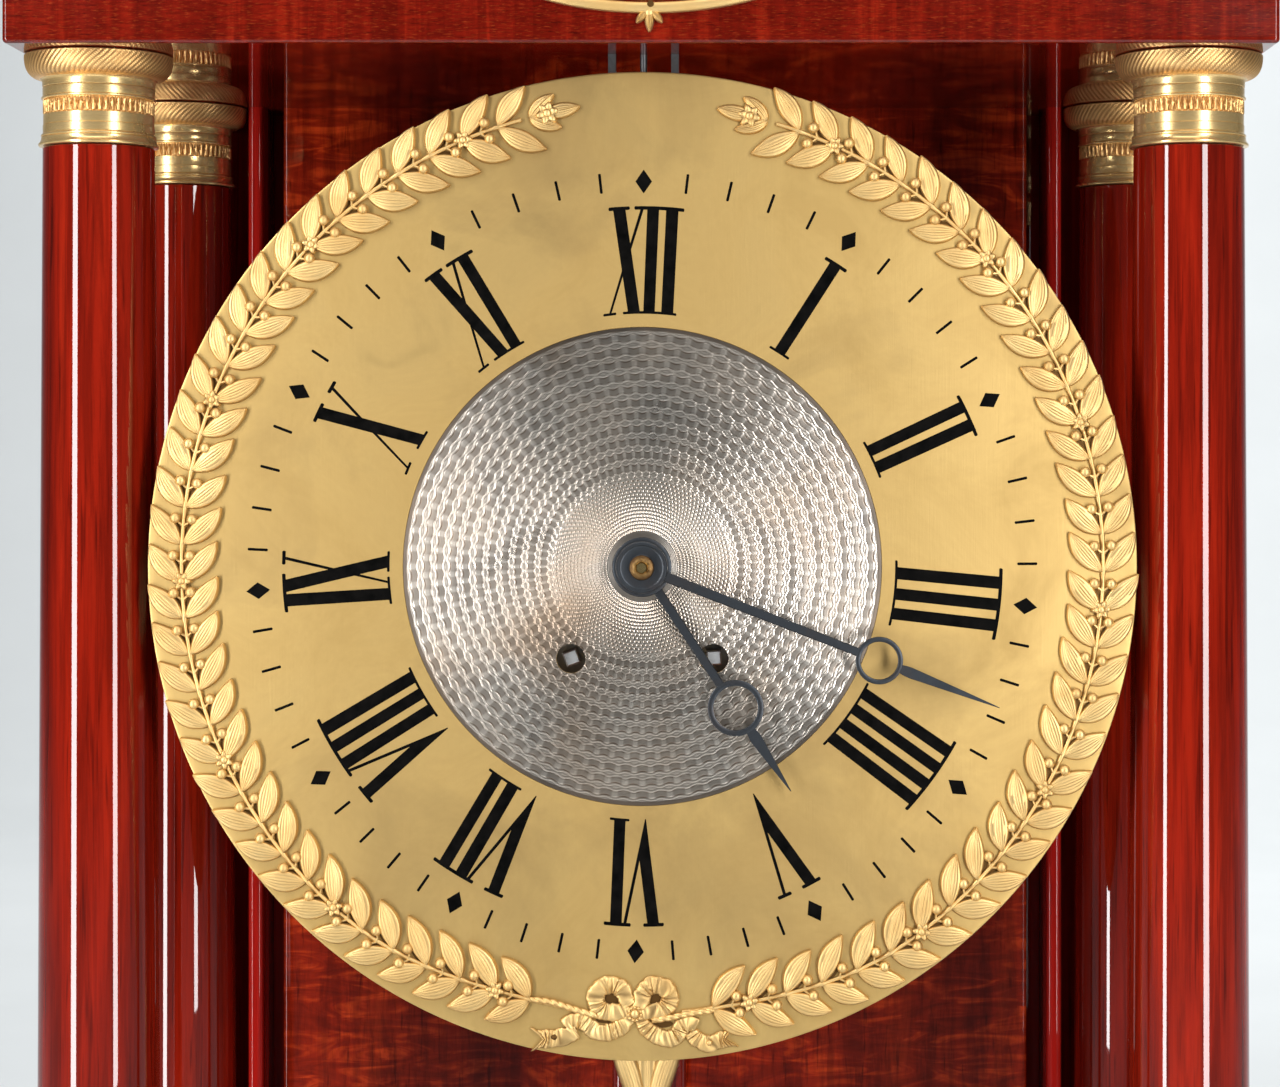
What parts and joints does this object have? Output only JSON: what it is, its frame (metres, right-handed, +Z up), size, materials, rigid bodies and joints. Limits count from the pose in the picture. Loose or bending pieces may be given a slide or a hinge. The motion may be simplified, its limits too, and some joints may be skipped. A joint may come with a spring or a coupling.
{
  "type": "portico mantel clock",
  "caption": "Key-wound mahogany portico clock with gilt capitals, large laurel-wreathed brass dial, blued hands, striking two-train movement and swinging pendulum.",
  "frame": {"origin": "middle of the footprint, on the surface the feet stand on", "axes": "+Z up, the dial faces -Y, +X to the right as seen from the front"},
  "size_m": [0.424, 0.228, 0.717],
  "materials": {
    "mahogany": "french polished, high gloss",
    "figured_mahogany": "flame-figured veneer, french polished",
    "gilt_bronze": "matte and burnished gilding",
    "gilt_dial": "gilt, finely brushed, patinated",
    "silvered_brass": "engine-turned, silvered, worn",
    "black_wax": "black wax filling in engraved cuts",
    "blued_steel": "dark blued",
    "steel": "polished steel",
    "spring_steel": "tempered spring steel",
    "brass": "polished brass",
    "bell_bronze": "turned bell metal",
    "bob_brass": "spun and lacquered brass"
  },
  "bodies": {
    "case": {"bun_feet": "gilt_bronze", "base_moulding": "mahogany", "plinth_block": "mahogany", "plinth_slab": "mahogany", "columns": "mahogany", "column_bases": "gilt_bronze", "column_capitals": "gilt_bronze", "column_tie_rods": "steel", "entablature_box": "mahogany", "entablature_cap": "mahogany", "frieze_mount": "gilt_bronze", "back_frame": "mahogany", "back_panel": "figured_mahogany", "dial_plate": "gilt_dial", "dial_centre": "silvered_brass", "chapter_inlay": "black_wax", "laurel_branches": "gilt_bronze", "ribbon_bow": "gilt_bronze", "dial_feet": "brass", "front_plate": "brass", "back_plate": "brass", "plate_pillars": "brass", "dust_band": "brass", "movement_hanger": "steel", "movement_screws": "steel", "suspension_cock": "brass", "bell": "bell_bronze", "bell_stand": "steel"},
    "minute": {"minute_hand": "blued_steel", "hand_collet": "brass", "cannon_pinion": "brass"},
    "hour": {"hour_hand": "blued_steel", "hour_wheel": "brass"},
    "minute_reduction": {"minute_wheel": "brass"},
    "going_drum": {"going_barrel": "brass", "going_mainspring": "spring_steel"},
    "going_arbor": {"going_winding_arbor": "steel"},
    "going_pawl": {"going_click": "steel"},
    "second": {"going_second_wheel": "brass"},
    "centre": {"centre_wheel": "brass"},
    "third": {"third_wheel": "brass"},
    "escape": {"escape_wheel": "brass"},
    "escapement": {"pallet_anchor": "steel", "crutch": "steel"},
    "pendulum": {"suspension_spring": "spring_steel", "pendulum_rod": "mahogany", "pendulum_leaf": "gilt_bronze", "pendulum_bob": "bob_brass", "pendulum_tail_rod": "steel"},
    "regulator": {"rating_nut": "brass"},
    "strike_drum": {"strike_barrel": "brass", "strike_mainspring": "spring_steel"},
    "strike_arbor": {"strike_winding_arbor": "steel"},
    "strike_pawl": {"strike_click": "steel"},
    "strike_second": {"strike_second_wheel": "brass", "count_wheel": "brass"},
    "pins": {"pin_wheel": "brass"},
    "warning": {"warning_wheel": "brass"},
    "vane": {"fly": "brass"},
    "striker": {"hammer": "steel"}
  },
  "joints": [
    {"name": "minute_hand_turn", "type": "hinge", "parent": "case", "child": "minute", "pos_m": [0, -0.09, 0.463], "axis": [0, 1, 0], "continuous": true},
    {"name": "hour_hand_turn", "type": "hinge", "parent": "case", "child": "hour", "pos_m": [0, -0.088, 0.463], "axis": [0, 1, 0], "continuous": true},
    {"name": "minute_wheel_turn", "type": "hinge", "parent": "case", "child": "minute_reduction", "pos_m": [0.00848, -0.05, 0.47148], "axis": [0, 1, 0], "continuous": true},
    {"name": "centre_wheel_turn", "type": "hinge", "parent": "case", "child": "centre", "pos_m": [0, -0.05, 0.463], "axis": [0, 1, 0], "continuous": true},
    {"name": "going_barrel_turn", "type": "hinge", "parent": "case", "child": "going_drum", "pos_m": [0.0224, -0.05, 0.4341], "axis": [0, 1, 0], "continuous": true},
    {"name": "second_wheel_turn", "type": "hinge", "parent": "case", "child": "second", "pos_m": [0.01971, -0.05, 0.45775], "axis": [0, 1, 0], "continuous": true},
    {"name": "third_wheel_turn", "type": "hinge", "parent": "case", "child": "third", "pos_m": [0.01437, -0.05, 0.47654], "axis": [0, 1, 0], "continuous": true},
    {"name": "escape_wheel_turn", "type": "hinge", "parent": "case", "child": "escape", "pos_m": [0, -0.05, 0.487], "axis": [0, 1, 0], "continuous": true},
    {"name": "pendulum_swing", "type": "hinge", "parent": "case", "child": "pendulum", "pos_m": [0, -0.008, 0.507], "axis": [0, 1, 0], "range_deg": [-3, 3]},
    {"name": "crutch_rock", "type": "hinge", "parent": "case", "child": "escapement", "pos_m": [0, -0.018, 0.507], "axis": [0, 1, 0], "range_deg": [-3, 3]},
    {"name": "rating_nut_turn", "type": "hinge", "parent": "pendulum", "child": "regulator", "pos_m": [0, -0.008, 0.137], "axis": [0, 0, 1], "continuous": true},
    {"name": "going_winding", "type": "hinge", "parent": "case", "child": "going_arbor", "pos_m": [0.0224, -0.075, 0.4341], "axis": [0, 1, 0], "range_deg": [0, 1620]},
    {"name": "strike_winding", "type": "hinge", "parent": "case", "child": "strike_arbor", "pos_m": [-0.0224, -0.075, 0.4341], "axis": [0, -1, 0], "range_deg": [0, 1620]},
    {"name": "going_click_lift", "type": "hinge", "parent": "case", "child": "going_pawl", "pos_m": [0.0341, -0.072, 0.4433], "axis": [0, -1, 0], "range_deg": [0, 9]},
    {"name": "strike_click_lift", "type": "hinge", "parent": "case", "child": "strike_pawl", "pos_m": [-0.0341, -0.072, 0.4433], "axis": [0, 1, 0], "range_deg": [0, 9]},
    {"name": "pin_wheel_turn", "type": "hinge", "parent": "case", "child": "pins", "pos_m": [-0.022, -0.05, 0.47561], "axis": [0, 1, 0], "continuous": true},
    {"name": "strike_barrel_turn", "type": "hinge", "parent": "case", "child": "strike_drum", "pos_m": [-0.0224, -0.05, 0.4341], "axis": [0, 1, 0], "continuous": true},
    {"name": "strike_second_wheel_turn", "type": "hinge", "parent": "case", "child": "strike_second", "pos_m": [-0.02665, -0.05, 0.45823], "axis": [0, 1, 0], "continuous": true},
    {"name": "warning_wheel_turn", "type": "hinge", "parent": "case", "child": "warning", "pos_m": [-0.0162, -0.05, 0.48805], "axis": [0, 1, 0], "continuous": true},
    {"name": "fly_turn", "type": "hinge", "parent": "case", "child": "vane", "pos_m": [-0.02572, -0.05, 0.49355], "axis": [0, 1, 0], "continuous": true},
    {"name": "hammer_lift", "type": "hinge", "parent": "case", "child": "striker", "pos_m": [-0.044, 0, 0.449], "axis": [0, -1, 0], "range_deg": [0, 12], "stiffness_Nm_per_rad": 0.01, "springref_deg": -5.73}
  ],
  "couplings": [
    {"joint": "minute_wheel_turn", "follows": "minute_hand_turn", "ratio": -0.33333},
    {"joint": "hour_hand_turn", "follows": "minute_hand_turn", "ratio": 0.083333},
    {"joint": "second_wheel_turn", "follows": "centre_wheel_turn", "ratio": -0.13333},
    {"joint": "going_barrel_turn", "follows": "centre_wheel_turn", "ratio": 0.017778},
    {"joint": "third_wheel_turn", "follows": "centre_wheel_turn", "ratio": -10.286},
    {"joint": "escape_wheel_turn", "follows": "centre_wheel_turn", "ratio": 105.8},
    {"joint": "crutch_rock", "follows": "pendulum_swing", "ratio": 1},
    {"joint": "strike_second_wheel_turn", "follows": "pin_wheel_turn", "ratio": -0.11111},
    {"joint": "strike_barrel_turn", "follows": "pin_wheel_turn", "ratio": 0.018519},
    {"joint": "warning_wheel_turn", "follows": "pin_wheel_turn", "ratio": -7.7143},
    {"joint": "fly_turn", "follows": "pin_wheel_turn", "ratio": 52.898}
  ]
}
